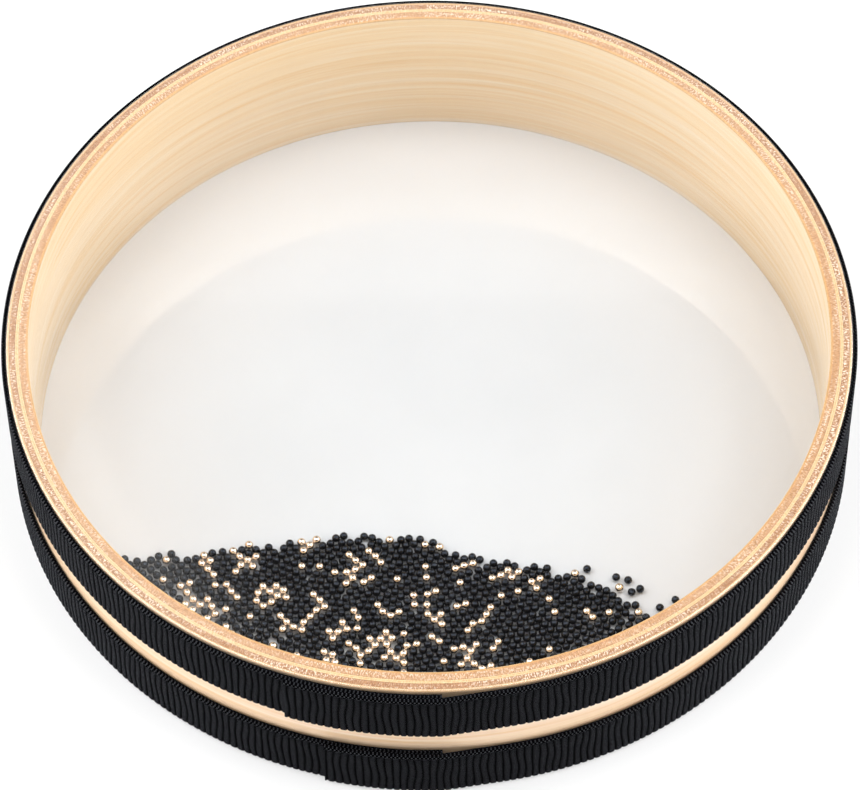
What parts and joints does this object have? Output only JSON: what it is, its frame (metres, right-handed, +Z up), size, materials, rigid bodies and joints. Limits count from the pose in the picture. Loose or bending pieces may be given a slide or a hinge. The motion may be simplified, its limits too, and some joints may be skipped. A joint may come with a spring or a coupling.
{
  "type": "ocean drum",
  "caption": "Shallow round drum with a plywood frame, a clear upper head and a white lower head held by webbing bands, and loose beads inside that roll with the sound of waves.",
  "frame": {"origin": "middle of the white head's underside, on the drum's own axis", "axes": "+Z up along the drum's axis towards the clear head, -Y towards the front, where the bead pile and the band ends lie"},
  "size_m": [0.257, 0.2583, 0.053],
  "materials": {
    "pale_veneer": "clear satin lacquer",
    "brown_ply": "end grain under clear film",
    "tan_ply": "end grain under clear film",
    "clear_film": "clear glossy film",
    "white_film": "white glossy film",
    "webbing": "ribbed woven",
    "black_bead": "satin moulded",
    "steel_bead": "polished"
  },
  "bodies": {
    "drum_shell": {"outer_hoop_face_veneer": "pale_veneer", "outer_hoop_core": "brown_ply", "outer_hoop_back_veneer": "pale_veneer", "inner_hoop_back_veneer": "pale_veneer", "inner_hoop_core": "tan_ply", "inner_hoop_face_veneer": "pale_veneer", "clear_head": "clear_film", "white_head": "white_film", "upper_band": "webbing", "lower_band": "webbing"},
    "bead_bed": {"black_beads_centre": "black_bead", "steel_beads_centre": "steel_bead"},
    "left_beads": {"black_beads_left": "black_bead", "steel_beads_left": "steel_bead"},
    "right_beads": {"black_beads_right": "black_bead", "steel_beads_right": "steel_bead"},
    "crest_beads": {"black_beads_crest": "black_bead", "steel_beads_crest": "steel_bead"},
    "stray_bead_1": {"stray_bead_1": "steel_bead"},
    "stray_bead_2": {"stray_bead_2": "black_bead"},
    "stray_bead_3": {"stray_bead_3": "black_bead"},
    "stray_bead_4": {"stray_bead_4": "black_bead"},
    "stray_bead_5": {"stray_bead_5": "black_bead"},
    "stray_bead_6": {"stray_bead_6": "black_bead"},
    "stray_bead_7": {"stray_bead_7": "black_bead"}
  },
  "joints": [
    {"name": "bead_swirl", "type": "hinge", "parent": "drum_shell", "child": "bead_bed", "pos_m": [0, 0, 0], "axis": [0, 0, 1], "continuous": true},
    {"name": "left_bead_run", "type": "hinge", "parent": "bead_bed", "child": "left_beads", "pos_m": [0, 0, 0], "axis": [0, 0, -1], "range_deg": [0, 100]},
    {"name": "right_bead_run", "type": "hinge", "parent": "bead_bed", "child": "right_beads", "pos_m": [0, 0, 0], "axis": [0, 0, 1], "range_deg": [0, 70]},
    {"name": "crest_bead_run", "type": "slide", "parent": "bead_bed", "child": "crest_beads", "axis": [0, 1, 0], "range_m": [0, 0.06]},
    {"name": "stray_bead_1_roll", "type": "slide", "parent": "right_beads", "child": "stray_bead_1", "axis": [0, 1, 0], "range_m": [0, 0.045]},
    {"name": "stray_bead_2_roll", "type": "slide", "parent": "right_beads", "child": "stray_bead_2", "axis": [0, 1, 0], "range_m": [0, 0.045]},
    {"name": "stray_bead_3_roll", "type": "slide", "parent": "right_beads", "child": "stray_bead_3", "axis": [0, 1, 0], "range_m": [0, 0.045]},
    {"name": "stray_bead_4_roll", "type": "slide", "parent": "right_beads", "child": "stray_bead_4", "axis": [0, 1, 0], "range_m": [0, 0.045]},
    {"name": "stray_bead_5_roll", "type": "slide", "parent": "right_beads", "child": "stray_bead_5", "axis": [0, 1, 0], "range_m": [0, 0.045]},
    {"name": "stray_bead_6_roll", "type": "slide", "parent": "right_beads", "child": "stray_bead_6", "axis": [0, 1, 0], "range_m": [0, 0.045]},
    {"name": "stray_bead_7_roll", "type": "slide", "parent": "right_beads", "child": "stray_bead_7", "axis": [0, 1, 0], "range_m": [0, 0.045]}
  ]
}
